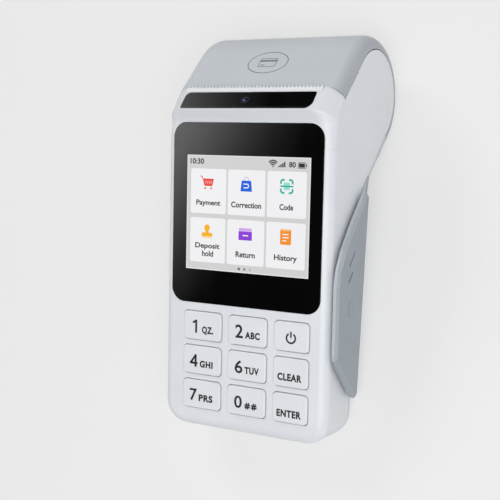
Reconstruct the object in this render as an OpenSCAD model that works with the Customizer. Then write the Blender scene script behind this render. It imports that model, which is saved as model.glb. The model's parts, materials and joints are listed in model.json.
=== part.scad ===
// Handheld card-payment terminal lying on its back, face up. Millimetres.
// Pieces are drawn in the frame of the face: X to the right, Y up the face
// from the bottom end, Z out of the face. seat() lays them on the table.

/* [Body] */
// Width across the side walls
body_w = 76; // [75.5:0.5:77.5]
// Side and face wall
wall = 2.2; // [2:0.1:2.4]
// Rounding of the face edge
edge_r = 4; // [3:0.5:4.5]
// Corner radius of the bottom end
corner_r = 10; // [9:0.5:11]
// Bottom end to the top edge of the glass
face_h = 126; // [125:0.5:128]
// Face to the back seam at the bottom end
base_d = 20; // [20:0.5:22]
// Taper of the back, degrees
back_taper = 4.1; // [3.6:0.1:4.4]
// Tilt of the face when it lies on its back, degrees
lie_tilt = 16; // [15.6:0.1:16.2]

/* [Printer bulb] */
// Roll axis above the top edge of the glass
roll_up = 12; // [11.8:0.1:12.4]
// Roll axis behind the face
roll_in = 39; // [38.8:0.1:39.4]
// Outer radius of the paper cover
cover_r = 24.7; // [24.5:0.1:25.2]
// Rounding between the cover and the side wall
cover_edge = 5.7; // [5.5:0.1:5.9]
// Wall of the cover and of the rear housing
cover_wall = 2; // [1.8:0.1:2.2]
// Gap of the seam between the cover and the side wall
seam = 0.4; // [0.4:0.1:0.6]
// Hinge pin radius
pin_r = 0.8; // [0.7:0.05:0.9]
// Hinge barrel radius
barrel_r = 1.8; // [1.7:0.05:1.9]
// Paper roll radius
paper_r = 17; // [13:0.5:17]
// Paper width
paper_w = 57; // [55:1:58]
// Core radius of the roll
core_r = 6.5; // [5:0.5:8]
// Inside radius of the paper tray
tray_r = 20; // [19.6:0.1:20.1]

/* [Brow] */
// How far the ridge stands out of the face
ridge_out = 3.6; // [3.2:0.1:3.8]
// Slope of the camera bar from the face, degrees
bar_slope = 39.8; // [39:0.2:40.6]
// Length of the camera bar face from the ridge to the tear edge
bar_len = 11.1; // [10.8:0.1:11.3]
// Height of the camera window
window_h = 8.1; // [7.6:0.1:8.3]
// Width of the camera window
window_w = 59.6; // [56:0.2:60]
// Length of the tear bar
tear_w = 62.2; // [60:0.2:62.4]
// Tooth pitch of the tear bar
tooth = 1; // [0.8:0.1:1.2]

/* [Display] */
// Glass width
glass_w = 69; // [68:0.5:69.5]
// Glass height
glass_h = 73.8; // [73:0.2:74]
// Glass corner radius
glass_r = 6; // [4:0.5:7]
// Glass thickness
glass_t = 1.2; // [1:0.1:1.2]
// Screen module width
lcd_w = 60; // [58:0.5:61]
// Screen module height
lcd_h = 56; // [52:0.5:57]
// Middle of the screen below the top edge of the glass
lcd_drop = 36.6; // [36:0.2:37]

/* [Keys] */
// Key height
key_h = 11.8; // [11:0.1:12]
// Row pitch
key_pitch = 14.35; // [14:0.05:14.5]
// Top of the upper row below the lower edge of the glass
key_drop = 3.6; // [3.2:0.1:4]
// Left column width
key_w1 = 18.2; // [17.5:0.1:18.4]
// Middle column width
key_w2 = 17.8; // [17:0.1:18]
// Right column width
key_w3 = 15.5; // [15:0.1:15.7]
// Gap between columns
key_gap = 3.4; // [3:0.1:3.5]
// Left edge of the left column from the middle
keys_left = 28; // [27.8:0.1:28.4]
// How far keys stand out of the face
key_lift = 0.9; // [0.7:0.1:1.2]
// Key travel
key_travel = 0.9; // [0.6:0.1:1]
// Gap around a key
key_fit = 0.25; // [0.2:0.05:0.3]

/* [Swipe rail] */
// Width of the card slot
slot_w = 1.45; // [1.4:0.05:1.8]
// Thickness of the rail plate
rail_t = 2.1; // [2:0.1:2.6]
// How far the magnetic head stands into the slot
head_out = 0.9; // [0.6:0.1:1]

/* [Printer drive] */
// Gear module
gear_m = 0.5; // [0.48:0.01:0.5]
// Teeth of the motor pinion
pinion_z = 12; // [11:1:12]
// Teeth of the idler
idler_z = 20; // [19:1:20]
// Teeth of the platen gear
platen_z = 14; // [13:1:14]
// Platen radius
platen_r = 4.5; // [4.3:0.05:4.5]
// Platen shaft radius
shaft_r = 1.5; // [1.3:0.1:1.6]

/* [Battery] */
// Battery width
battery_w = 50; // [46:1:50]
// Battery length
battery_l = 66; // [60:1:66]
// Battery thickness
battery_t = 10; // [8:0.5:10.5]

/* [Hidden] */
$fn = 64;
fit = 0.1;
diag = sqrt(2);
hw = body_w / 2;
roll_v = face_h + roll_up;
roll_w = -roll_in;
bend_t = tan(back_taper);

// Seam radii on the white wall and on the grey skin
seam_r = cover_r - cover_edge;
cheek_r = seam_r - seam / 2;
skirt_r = seam_r + seam / 2;

// Corner of the back seam where the bulb begins
bend_sum = roll_v + roll_w - seam_r * diag;
bend_v = (bend_sum + base_d) / (1 - bend_t);
bend_w = bend_sum - bend_v;
mitre = -(135 + 90 + back_taper) / 2;

// Where the part lies on the table
lie_x = -(slot_w + rail_t) / 2;
lie_top = roll_v * cos(lie_tilt) - roll_w * sin(lie_tilt) + cover_r;
lie_low = edge_r * (cos(lie_tilt) + sin(lie_tilt) - 1);
lie_y = -(lie_top + lie_low) / 2;
lie_z = cover_r - roll_v * sin(lie_tilt) - roll_w * cos(lie_tilt);

// Camera bar: the face runs from the ridge up and back to the tear edge
ridge_v = face_h + 5.4;
tear_v = ridge_v + bar_len * cos(bar_slope);
tear_z = ridge_out - bar_len * sin(bar_slope);
bar_wall = 1.9;
window_t = 1.2;
tear_t = 0.9;
tear_p = ((tear_v - roll_v) - (tear_z - roll_w)) / diag;
tear_q = ((tear_v - roll_v) + (tear_z - roll_w)) / diag;
exit_gap = 1.9;
cover_p = tear_p + exit_gap;

// Hinge of the paper cover in the frame of the roll
hinge_p = -3;
hinge_q = -(cover_r - barrel_r);
step_p = -12.1;
knuckle_x = 27;
ear_x0 = 27.4;
ear_x1 = 33.4;

// The roll lies on the tray, under the axis of the bulb
tray_t = 0.9;
roll_drop = tray_r - paper_r - 0.15;
paper_p = roll_drop * sin(45 - lie_tilt);
paper_q = -roll_drop * cos(45 - lie_tilt);

// Stack behind the face
gasket_t = 0.3;
sink_d = glass_t + gasket_t;
glass_v0 = face_h - glass_h;
lcd_x = 0.5;
lcd_v = face_h - lcd_drop;
lcd_t = 3.2;
flange_t = 0.8;
flange_out = 0.7;
flange_z = -wall - fit;
plunger_z = flange_z - flange_t - 1;
board_z = plunger_z - key_travel - 1.35;
board_t = 1.6;
board_back = board_z - board_t;
board_w = 62.6;
board_v0 = 4.7;
board_v1 = 109.5;
mat_t = 0.7;

// Columns and rows of keys
key_top = glass_v0 - key_drop;
key_x1 = -keys_left;
key_x2 = key_x1 + key_w1 + key_gap;
key_x3 = key_x2 + key_w2 + key_gap;
key_r = 1.7;
key_soft = 0.6;

// Chip-card frame
card_w = 54.6;
card_t = 1.3;
card_z = board_back - 3.4;
reader_w = 57.4;
reader_t = 5.4;
reader_v0 = wall + 0.15;
reader_v1 = 51;

// Swipe rail
rail_in = hw + slot_w;
rail_out = rail_in + rail_t;
rail_bevel = 1.1;
head_v = 57.5;
head_z = -10;

// Platen in the frame of the roll
platen_p = tear_p + 4.8;
platen_q = 17.5;
head_p = platen_p - platen_r - fit;
ear_in = paper_w / 2 + 0.7;
ear_t = 1.6;
platen_v = roll_v + (platen_p + platen_q) / diag;
platen_w = roll_w + (platen_q - platen_p) / diag;

// Gear train on the left side
gear_x0 = -34.2;
gear_x1 = -32.7;
idler_c = gear_m * (idler_z + platen_z) / 2 + 0.03;
idler_v = platen_v - idler_c * 0.919;
idler_w = platen_w + idler_c * 0.394;
pinion_c = gear_m * (idler_z + pinion_z) / 2 + 0.03;
pinion_v = idler_v - pinion_c * 0.95;
pinion_w = idler_w - pinion_c * 0.312;
dir_1 = atan2(idler_w - pinion_w, idler_v - pinion_v);
dir_2 = atan2(platen_w - idler_w, platen_v - idler_v);
idler_turn = dir_1 + 180 + 180 / idler_z;
platen_turn = dir_2 + 180 + (dir_2 - idler_turn) * idler_z / platen_z + 180 / platen_z;
motor_r = 5.9;
motor_l = 12;
plate_x = 31;
plate_t = 1;

// Battery and its door on the tapered back
skin = cover_edge;
door_w = battery_w + 4.6;
door_s0 = 21.7;
door_s1 = door_s0 + battery_l + 4.6;
door_t = 1.6;
battery_s0 = door_s0 + 2.3;
ledge_t = 1.4;

// Screws, posts and feet
screw_x = 31.4;
screw_v = [12, 92];
boss_r = 2.3;
boss_end = -18.5;
screw_r = 1.05;
screw_hole = 1.1;
screw_head = 2;
post_x = 29.2;
post_v = [68, 84];
foot_r = 4.5;
foot_x = 21;
foot_y = lie_y + 18;
foot_h = 1.9;
foot_seat = 0.8;

white = [0.88, 0.89, 0.91];
grey = [0.66, 0.69, 0.72];
dark = [0.06, 0.06, 0.07];
steel = [0.7, 0.71, 0.73];

// Frames

module seat() {
    translate([lie_x, lie_y, lie_z]) rotate([lie_tilt, 0, 0]) children();
}

module roll_frame() {
    translate([0, roll_v, roll_w]) rotate([-45, 0, 0]) children();
}

module back_frame() {
    translate([0, 0, -base_d]) rotate([-back_taper, 0, 0]) children();
}

module bar_frame() {
    translate([0, ridge_v, ridge_out]) rotate([-bar_slope, 0, 0]) children();
}

// Flat shapes and extrusions

function arc(c, r, a0, a1, n) =
    [for (i = [0:n]) c + r * [cos(a0 + (a1 - a0) * i / n), sin(a0 + (a1 - a0) * i / n)]];

function ring(w, h, r, n) = concat(
    arc([w / 2 - r, h / 2 - r], r, 0, 90, n),
    arc([r - w / 2, h / 2 - r], r, 90, 180, n),
    arc([r - w / 2, r - h / 2], r, 180, 270, n),
    arc([w / 2 - r, r - h / 2], r, 270, 360, n));

// Extrudes a shape drawn in (Y, Z) along X
module across(x0, x1) {
    translate([x0, 0, 0]) rotate([90, 0, 90]) linear_extrude(x1 - x0) children();
}

// Extrudes a shape drawn in (X, Z) along Y
module along(y0, y1) {
    translate([0, y1, 0]) rotate([90, 0, 0]) linear_extrude(y1 - y0) children();
}

// Extrudes a shape drawn in (X, Y) along Z
module upward(z0, z1) {
    translate([0, 0, z0]) linear_extrude(z1 - z0) children();
}

module box(x0, x1, y0, y1, z0, z1) {
    translate([x0, y0, z0]) cube([x1 - x0, y1 - y0, z1 - z0]);
}

module rod(x0, x1, y, z, r) {
    translate([x0, y, z]) rotate([0, 90, 0]) cylinder(r = r, h = x1 - x0);
}

module rounded(x0, y0, x1, y1, r) {
    translate([x0 + r, y0]) square([x1 - x0 - 2 * r, y1 - y0]);
    translate([x0, y0 + r]) square([x1 - x0, y1 - y0 - 2 * r]);
    for (x = [x0 + r, x1 - r], y = [y0 + r, y1 - r]) translate([x, y]) circle(r);
}

// Half-wide shape with two round upper corners, its top at the given height
module hump(h, top, e, low) {
    translate([e - h, low]) square([2 * (h - e), top - low]);
    translate([-h, low]) square([2 * h, top - e - low]);
    for (s = [-1, 1]) translate([s * (h - e), top - e]) circle(e);
}

// Section of the grey skin: flat in the middle, a quarter round at each side
module skin_section(h, top, base) {
    e = top - seam_r;
    difference() {
        hump(h, top, e, 0);
        hump(h - cover_wall, top - cover_wall, e - cover_wall, -1);
        translate([-hw - 1, -1]) square([body_w + 2, base + 1]);
    }
}

// Block with a soft front edge and round bottom corners, front at Z = 0
module soft_block(h, len, rc, re, d) {
    along(rc, len) hump(h, 0, re, -d);
    across(rc - h, h - rc) soft_corner(rc, re, d, -1);
    for (s = [0, 1]) {
        translate([(s * 2 - 1) * (h - rc), rc, 0])
            rotate([0, 0, s * 90 + 180]) rotate_extrude(angle = 90) soft_corner(rc, re, d, 1);
    }
}

module soft_corner(rc, re, d, s) {
    translate([s < 0 ? rc : 0, 0]) scale([s, 1]) difference() {
        translate([0, -d]) square([rc, d]);
        difference() {
            translate([rc - re, -re]) square([re + 1, re + 1]);
            translate([rc - re, -re]) circle(re);
        }
    }
}

// Bottom-end outline of the inside
module inner_outline(gap, len) {
    h = hw - gap;
    r = corner_r - gap;
    translate([-h, corner_r]) square([2 * h, len - corner_r]);
    translate([r - h, gap]) square([2 * (h - r), corner_r]);
    for (s = [-1, 1]) translate([s * (h - r), corner_r]) circle(r);
}

// Keycap with soft upper edges
module pillow(w, h, r, re, zb, zt) {
    n = 4;
    m = 4;
    size = 4 * (n + 1);
    steps = concat([[zb, 0]], [for (i = [0:m])
        [zt - re + re * sin(90 * i / m), re * (1 - cos(90 * i / m))]]);
    pts = [for (s = steps) for (p = ring(w - 2 * s[1], h - 2 * s[1], r - s[1], n))
        [p[0], p[1], s[0]]];
    last = (len(steps) - 1) * size;
    sides = [for (k = [0:len(steps) - 2]) for (i = [0:size - 1])
        [k * size + i, (k + 1) * size + i,
            (k + 1) * size + (i + 1) % size, k * size + (i + 1) % size]];
    polyhedron(pts, concat([[for (i = [0:size - 1]) i]],
        [[for (i = [0:size - 1]) last + size - 1 - i]], sides));
}

function inv(a) = tan(a) * 180 / PI - a;

// Gear outline with involute flanks, a tooth on the given direction
module gear(z, turn) {
    r = gear_m * z / 2;
    rb = r * cos(20);
    rt = r + 0.85 * gear_m;
    rr = r - 1.15 * gear_m;
    half = 90 / z - 0.04 / r * 180 / PI + inv(20);
    flank = [for (k = [0:3]) let (q = rb + (rt - rb) * k / 3) [q, half - inv(acos(rb / q))]];
    up = concat([[rr, half]], flank);
    polygon([for (t = [0:z - 1]) for (k = [0:9])
        let (e = k < 5 ? up[k] : up[9 - k], a = turn + t * 360 / z + (k < 5 ? -1 : 1) * e[1])
        e[0] * [cos(a), sin(a)]]);
}

// White front housing

module wall_profile() {
    polygon([[-1, 8], [face_h, 8], [face_h, 0], [bend_v, bend_w],
        [-1, bend_t - base_d]]);
    translate([roll_v, roll_w]) rotate(-45) translate([-44, 0.02 - cheek_r])
        square([44.2, 2 * cheek_r - 0.04]);
    translate([roll_v, roll_w]) circle(cheek_r);
}

// Side profile of the face and the brow: height over the glass edge, height out
// of the face, added end rounding, upward share of the rounding, flatness of it
brow_line = concat(
    [[-10.6, -0.08, 0.2, 0, 1], [-9, -0.06, 0.15, 0, 1], [-7, 0, 0.1, 0, 1],
        [-4.5, 0.01, 0.3, 0.02, 1], [-2.5, 0.01 * ridge_out, 0.7, 0.06, 1],
        [-1, 0.04 * ridge_out, 1.1, 0.1, 1.02], [0.2, 0.12 * ridge_out, 1.5, 0.14, 1.05],
        [1.4, 0.28 * ridge_out, 2, 0.18, 1.08], [2.8, 0.52 * ridge_out, 2.7, 0.24, 1.12],
        [4.2, 0.79 * ridge_out, 3.8, 0.3, 1.17], [5, 0.95 * ridge_out, 4.6, 0.34, 1.2],
        [5.4, ridge_out, 5, 0.36, 1.2]],
    [for (d = [[0.5, 5, 0.38, 1.2], [bar_len / 2, 4, 0.46, 1.25], [bar_len, 3, 0.56, 1.35]])
        [5.4 + d[0] * cos(bar_slope), ridge_out - d[0] * sin(bar_slope), d[1], d[2], d[3]]],
    [[tear_v - face_h - 4.4, tear_z - 4.4, 3, 0.56, 1.35], [-10.6, -9, 0, 0, 0]]);

// Outline at one step of the rounding; the last point stays where it is
function brow_ring(side, t) =
    [for (e = brow_line) let (r = edge_r + e[2], k = r * (1 - pow(cos(t), e[4])))
        [side * (hw - 0.05 - r + r * pow(sin(t), max(e[4], 1))), face_h + e[0] - k * e[3],
            e[1] - k * sqrt(1 - e[3] * e[3])]];

// Face end and brow, with ends that round off towards the side walls
module brow() {
    m = 12;
    size = len(brow_line);
    rings = concat([for (i = [0:m]) brow_ring(-1, 90 - i * 90 / m)],
        [for (i = [0:m]) brow_ring(1, i * 90 / m)]);
    last = (len(rings) - 1) * size;
    sides = [for (k = [0:len(rings) - 2]) for (i = [0:size - 1]) for (h = [0, 1])
        let (j = (i + 1) % size, a = k * size, b = a + size)
        h == 0 ? [a + i, a + j, b + j] : [a + i, b + j, b + i]];
    caps = [for (i = [0:size - 3]) for (k = [0, 1])
        k == 0 ? [size - 1, i + 1, i] : [last + size - 1, last + i, last + i + 1]];
    polyhedron([for (r = rings) for (q = r) q], concat(caps, sides));
}

module front_outer() {
    difference() {
        intersection() {
            soft_block(hw, 200, corner_r, edge_r, 64);
            across(-hw - 1, hw + 1) wall_profile();
        }
        box(-hw - 1, hw + 1, face_h - 9.6, face_h + 60, -8, 20);
    }
    brow();
}

module front_inner() {
    inside = hw - wall;
    chamber = hw - 8.2;
    upward(-70, -wall) inner_outline(wall, face_h - 1.5);
    roll_frame() box(-inside, inside, tear_p + 0.6, 60, -60, 60);
    across(-inside, inside) polygon([[face_h - 14, -4.2], [face_h + 7, -4.2],
        [face_h + 11.5, -8.4], [face_h - 4, -26], [face_h - 14, -34]]);
    across(-chamber, chamber) polygon([[face_h - 4, -wall], [face_h + 0.8, -wall],
        [ridge_v - 0.6, ridge_out - 2.5],
        [tear_v - bar_wall * sin(bar_slope), tear_z - bar_wall * cos(bar_slope)],
        [tear_v - 6, tear_z - 9], [face_h - 4, -14]]);
}

// Black bar, its corner radii uneven
module window_shape(gap) {
    h = window_w / 2 + gap;
    y0 = 0.7 - gap;
    y1 = 0.7 + window_h + gap;
    polygon(concat(arc([h - 1, y1 - 1], 1, 0, 90, 6), arc([2.2 - h, y1 - 2.2], 2.2, 90, 180, 8),
        arc([0.8 - h, y0 + 0.8], 0.8, 180, 270, 5), arc([h - 3.2, y0 + 3.2], 3.2, 270, 360, 10)));
}

module front_openings() {
    upward(-sink_d, 1) rounded(-glass_w / 2 - fit, glass_v0 - fit, glass_w / 2 + fit,
        face_h + fit, glass_r + fit);
    box(lcd_x - lcd_w / 2 - 0.2, lcd_x + lcd_w / 2 + 0.2, lcd_v - lcd_h / 2 - 0.2,
        lcd_v + lcd_h / 2 + 0.2, -wall - 1, 0);
    for (c = [0:2], r = [0:2]) translate([key_mid(c), key_row(r), 0])
        upward(-wall - 1, 2) rounded(-key_w(c) / 2 - key_fit, -key_h / 2 - key_fit,
            key_w(c) / 2 + key_fit, key_h / 2 + key_fit, key_r + key_fit);
    bar_frame() upward(-window_t, 3) window_shape(fit);
    bar_frame() box(-6, 6, 1.6, 7.4, -4, 0);
    bar_frame() box(-tear_w / 2 + 0.5 - fit, tear_w / 2 + 0.5 + fit, bar_len - 1.83, bar_len + 3,
        -tear_t, 3);
    box(-card_w / 2 - 0.4, card_w / 2 + 0.4, -1, wall + 1, card_z - 1.1, card_z + 1.1);
    box(hw - wall - 1, hw + 1, head_v - 4.2, head_v + 4.2, head_z - 3.2, head_z + 3.2);
    translate([-hw - 1, 0, 0]) across(0, wall + 2)
        rounded(96.8, board_back - 3.5, 106.2, board_back + 0.2, 1.2);
    roll_frame() box(-hw - 1, hw + 1, -7.2, -6.3, cheek_r - 0.7, cheek_r + 2);
}

module front_bosses() {
    for (s = [-1, 1], v = screw_v) {
        translate([s * screw_x, v, boss_end]) cylinder(r = boss_r, h = 9);
        box(s > 0 ? screw_x : -hw + 1, s > 0 ? hw - 1 : -screw_x, v - 1.2, v + 1.2,
            boss_end, boss_end + 9);
    }
    for (v = [head_v - 11, head_v + 9]) box(32.2, hw - 1, v, v + 2, head_z - 3, head_z + 3);
}

module front_housing() {
    seat() color(white) difference() {
        union() {
            difference() {
                front_outer();
                front_inner();
            }
            front_bosses();
        }
        front_openings();
        for (s = [-1, 1], v = screw_v)
            translate([s * screw_x, v, boss_end - 1]) cylinder(r = screw_hole, h = 8);
        box(32.7, 33.3, head_v - 10.2, head_v + 10.2, head_z - 2.1, head_z + 2.1);
    }
}

// Grey back and cover

module half_plane(s) {
    across(-60, 60) polygon([[bend_v, bend_w] + 90 * [cos(mitre), sin(mitre)],
        [bend_v, bend_w] - 90 * [cos(mitre), sin(mitre)],
        [bend_v, bend_w] - 90 * [cos(mitre), sin(mitre)] + s * [150, 0],
        [bend_v, bend_w] + 90 * [cos(mitre), sin(mitre)] + s * [150, 0]]);
}

module back_skin() {
    intersection() {
        back_frame() mirror([0, 0, 1]) difference() {
            translate([0, 0, skin]) soft_block(hw, 125, corner_r, skin, 16);
            translate([0, cover_wall, skin - cover_wall])
                soft_block(hw - cover_wall, 125, corner_r - cover_wall, skin - cover_wall, 20);
            box(-hw - 1, hw + 1, -1, 130, -20, seam / 2);
        }
        half_plane(-1);
    }
}

module bulb_skin() {
    intersection() {
        roll_frame() mirror([0, 0, 1]) {
            along(-60, step_p) skin_section(hw - 0.15, cover_r - 0.4, skirt_r);
            along(step_p, hinge_p - 0.3) skin_section(hw, cover_r, skirt_r);
        }
        half_plane(1);
    }
}

module rear_shell() {
    seat() color(grey) difference() {
        union() {
            back_skin();
            bulb_skin();
            back_frame() box(-door_w / 2 - 1.6, door_w / 2 + 1.6, door_s0 - 1.6, door_s1 + 1.6,
                -skin + door_t, -skin + door_t + ledge_t);
            intersection() {
                union() {
                    for (s = [-1, 1], v = screw_v) translate([s * screw_x, v, -34])
                        cylinder(r = boss_r, h = 34 + boss_end - fit);
                    for (s = [-1, 1], v = post_v) translate([s * post_x, v, -34])
                        cylinder(r = 1.5, h = 34 + board_back - 0.05);
                }
                back_frame() box(-hw, hw, 0, 130, -skin, 40);
            }
        }
        roll_frame() {
            rod(-hw - 1, hw + 1, hinge_p, hinge_q, barrel_r + 0.55);
            for (k = [-2:2]) box(k * 5 - 1, k * 5 + 1, -30, -19, -30, -20);
        }
        back_frame() {
            box(-door_w / 2 - 0.2, door_w / 2 + 0.2, door_s0 - 0.2, door_s1 + 0.2,
                -skin - 1, -skin + door_t);
            box(-battery_w / 2 - 0.4, battery_w / 2 + 0.4, battery_s0 - 0.4,
                battery_s0 + battery_l + 0.4, -skin - 1, 0);
        }
        for (s = [-1, 1], v = screw_v) translate([s * screw_x, v, 0]) {
            translate([0, 0, -40]) cylinder(r = screw_hole + 0.1, h = 40);
            translate([0, 0, -40]) cylinder(r = screw_head + 0.2, h = 40 + screw_seat(v));
        }
    }
    seat() roll_frame() color(grey) rear_ears();
}

module rear_housing() {
    difference() {
        union() {
            rear_shell();
            color(grey) for (s = [-1, 1]) foot_boss(s);
        }
        for (s = [-1, 1]) translate([lie_x + s * foot_x, foot_y, -1])
            cylinder(r = foot_r + fit, h = foot_h + 1);
    }
}

// Seat of a screw head in the tapered back
function screw_seat(v) = -base_d - v * bend_t - skin + 2.6;

module rear_ears() {
    for (s = [-1, 1]) difference() {
        union() {
            rod(s > 0 ? ear_x0 : -ear_x1, s > 0 ? ear_x1 : -ear_x0, hinge_p, hinge_q, barrel_r);
            box(s > 0 ? ear_x0 : -ear_x1, s > 0 ? ear_x1 : -ear_x0, hinge_p - 4.5, hinge_p,
                hinge_q - 0.9, hinge_q + 0.9);
        }
        rod(-hw, hw, hinge_p, hinge_q, pin_r + 0.02);
    }
}

module foot_boss(s) {
    difference() {
        translate([lie_x + s * foot_x, foot_y, foot_seat]) cylinder(r = foot_r + 1.2, h = 5);
        seat() back_frame() box(-hw, hw, -20, 90, -skin + cover_wall, 30);
    }
}

module rubber_feet() {
    color([0.12, 0.12, 0.13]) for (s = [-1, 1]) translate([lie_x + s * foot_x, foot_y, 0])
        cylinder(r = foot_r, h = foot_h);
}

module cover_skin() {
    along(cover_p, 0) skin_section(hw, cover_r, skirt_r);
    rotate([0, 90, 0]) rotate_extrude(angle = 180) rotate(-90) skin_section(hw, cover_r, skirt_r);
    mirror([0, 0, 1]) along(hinge_p, 0) skin_section(hw, cover_r, skirt_r);
}

module cover_ear(s) {
    x0 = s > 0 ? ear_in : -ear_in - ear_t;
    box(x0, x0 + ear_t, cover_p, platen_p + 5.5, platen_q - 3.2, cover_r - cover_wall + 0.2);
}

module paper_cover() {
    seat() roll_frame() color(grey) difference() {
        union() {
            cover_skin();
            rod(-knuckle_x, knuckle_x, hinge_p, hinge_q, barrel_r);
            for (s = [-1, 1]) cover_ear(s);
        }
        rod(-hw, hw, hinge_p, hinge_q, pin_r + 0.04);
        for (s = [-1, 1]) box(s > 0 ? knuckle_x + 0.1 : -ear_x1 - 0.3,
            s > 0 ? ear_x1 + 0.3 : -knuckle_x - 0.1, hinge_p - 3, hinge_p + 2.2,
            hinge_q - 4, hinge_q + 2.4);
        rod(-ear_in - ear_t - 1, ear_in + ear_t + 1, platen_p, platen_q, bush_r);
    }
}

bush_r = shaft_r + 0.8;

module hinge_pin() {
    seat() roll_frame() color(steel) rod(-ear_x1, ear_x1, hinge_p, hinge_q, pin_r);
}

// Swipe rail

function rail_back(v) = -base_d - v * bend_t - 0.6;

// Outline of the rail plate, drawn in by g
function rail_pts(g) = [[100 - 2.2 * g, rail_back(100) + 2 + 0.4 * g],
    [97.4 - 1.1 * g, -23.2 - 0.8 * g], [88.2 - 0.9 * g, -14.5 - 0.9 * g], [77.8 - 0.7 * g, -6 - 0.9 * g], [69.7 - 0.4 * g, -1.9 - g],
    [63.5, -0.8 - g], [37, -0.8 - g], [34.7 + 0.3 * g, -1.3 - g], [30.6 + 0.7 * g, -4.7 - 0.7 * g],
    [20.4 + 0.9 * g, -14.9 - 0.6 * g], [17.4 + g, -18 - 0.3 * g], [16.7 + g, rail_back(16.7) + 1.6],
    [17.8 + 0.8 * g, rail_back(17.8) + 0.6 * g], [98.5 - 0.8 * g, rail_back(98.5) + 0.6 * g]];

module rail_plate() {
    hull() {
        across(rail_in, rail_out - 0.9) polygon(rail_pts(0));
        across(rail_out - 0.9, rail_out) polygon(rail_pts(rail_bevel));
    }
}

// Fin that runs from the top of the plate up the back of the bulb
module rail_root() {
    hull() {
        across(hw + 0.05, rail_in + 0.7) polygon([[98.6, rail_back(98.6) + 1.6],
            [98, rail_back(98)], [95, rail_back(95)], [95, rail_back(95) + 2]]);
        across(hw + 0.05, hw + 0.25) polygon([[106, bend_sum - 106 + 0.2],
            [104.6, bend_sum - 104.6 - 1.4], [104, bend_sum - 104]]);
    }
}

module swipe_rail() {
    seat() color([0.55, 0.58, 0.62]) {
        difference() {
            rail_plate();
            for (d = [[76.7, -15.8, 70.8, -11.1], [68.7, -14.5, 64.3, -10.3]])
                translate([rail_out, (d[0] + d[2]) / 2, (d[1] + d[3]) / 2])
                    rotate([atan2(d[3] - d[1], d[2] - d[0]), 0, 0])
                        cube([0.6, norm([d[2] - d[0], d[3] - d[1]]), 1], center = true);
        }
        rail_root();
        across(hw + 0.05, rail_in + 0.2) polygon([[95, rail_back(95) + 3.2],
            [20, rail_back(20) + 3.2], [18.4, rail_back(18.4)], [98, rail_back(98)]]);
    }
}

// Brow pieces

module tear_bar() {
    n = floor(tear_w / tooth);
    x0 = 0.5 - tear_w / 2;
    seat() bar_frame() color(white) upward(-tear_t + 0.05, 0.05) polygon(concat(
        [[x0 + tear_w, bar_len - 1.8], [x0, bar_len - 1.8]],
        [for (i = [0:n - 1]) for (k = [0, 1])
            [x0 + (i + k * 0.5) * tear_w / n, bar_len + 0.1 + k * 0.6]],
        [[x0 + tear_w, bar_len + 0.1]]));
}

module scan_window() {
    seat() bar_frame() color(dark) upward(-window_t, 0) window_shape(0);
}

module camera_module() {
    seat() bar_frame() color([0.1, 0.11, 0.13]) {
        box(-5.6, 5.6, 1.8, 7.2, -5.2, -window_t - 1);
        translate([0, 4.6, -window_t - 1.2]) cylinder(r = 1.9, h = 1.1);
    }
}

// Display

module display_glass() {
    seat() color(dark) upward(-glass_t, 0)
        rounded(-glass_w / 2, glass_v0, glass_w / 2, face_h, glass_r);
}

module glass_gasket() {
    seat() color([0.2, 0.2, 0.2]) upward(-sink_d, -glass_t) difference() {
        rounded(-glass_w / 2 + 0.5, glass_v0 + 0.5, glass_w / 2 - 0.5, face_h - 0.5, glass_r);
        translate([lcd_x - lcd_w / 2 - 0.3, lcd_v - lcd_h / 2 - 0.3]) square([lcd_w + 0.6, lcd_h + 0.6]);
    }
}

module lcd_module() {
    seat() color([0.75, 0.77, 0.8]) box(lcd_x - lcd_w / 2, lcd_x + lcd_w / 2, lcd_v - lcd_h / 2,
        lcd_v + lcd_h / 2, -glass_t - 0.05 - lcd_t, -glass_t - 0.05);
}

// Keys

function key_w(c) = c == 0 ? key_w1 : c == 1 ? key_w2 : key_w3;
function key_mid(c) = (c == 0 ? key_x1 : c == 1 ? key_x2 : key_x3) + key_w(c) / 2;
function key_row(r) = key_top - r * key_pitch - key_h / 2;

module key(c, r) {
    seat() translate([key_mid(c), key_row(r), 0]) color(white) {
        pillow(key_w(c), key_h, key_r, key_soft, flange_z, key_lift);
        upward(flange_z - flange_t, flange_z) rounded(-key_w(c) / 2 - flange_out,
            -key_h / 2 - flange_out, key_w(c) / 2 + flange_out, key_h / 2 + flange_out, key_r);
        translate([0, 0, plunger_z]) cylinder(r = 2.4, h = 1);
    }
}

module keypad_mat() {
    x0 = key_mid(0) - 9;
    x1 = key_mid(2) + 8;
    seat() color([0.5, 0.52, 0.55]) {
        box(x0, x1, key_row(2) - 6.2, key_row(0) + 6.2, board_z, board_z + mat_t);
        for (c = [0:2], r = [0:2]) translate([key_mid(c), key_row(r), board_z + mat_t])
            cylinder(r1 = 3.8, r2 = 2.6, h = plunger_z - fit - board_z - mat_t);
    }
}

// Electronics

module main_board() {
    seat() color([0.05, 0.3, 0.18]) upward(board_back, board_z) difference() {
        rounded(-board_w / 2, board_v0, board_w / 2, board_v1, 2);
        translate([board_w / 2, head_v]) square([4, 12], center = true);
    }
}

module shield_cans() {
    seat() color(steel) {
        box(-22, -2, 58, 76, board_back - 2.2, board_back);
        box(2, 20, 60, 84, board_back - 2, board_back);
    }
}

module backup_cell() {
    seat() color(steel) translate([12, 98, board_back - 3.2]) cylinder(r = 6.2, h = 3.2);
}

module sim_holder() {
    seat() color([0.15, 0.15, 0.16]) difference() {
        box(-18, -2, 86, 101, board_back - 2.4, board_back);
        box(-16.4, -3.6, 86 - 1, 99, board_back - 1.7, board_back - 0.7);
    }
}

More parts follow.
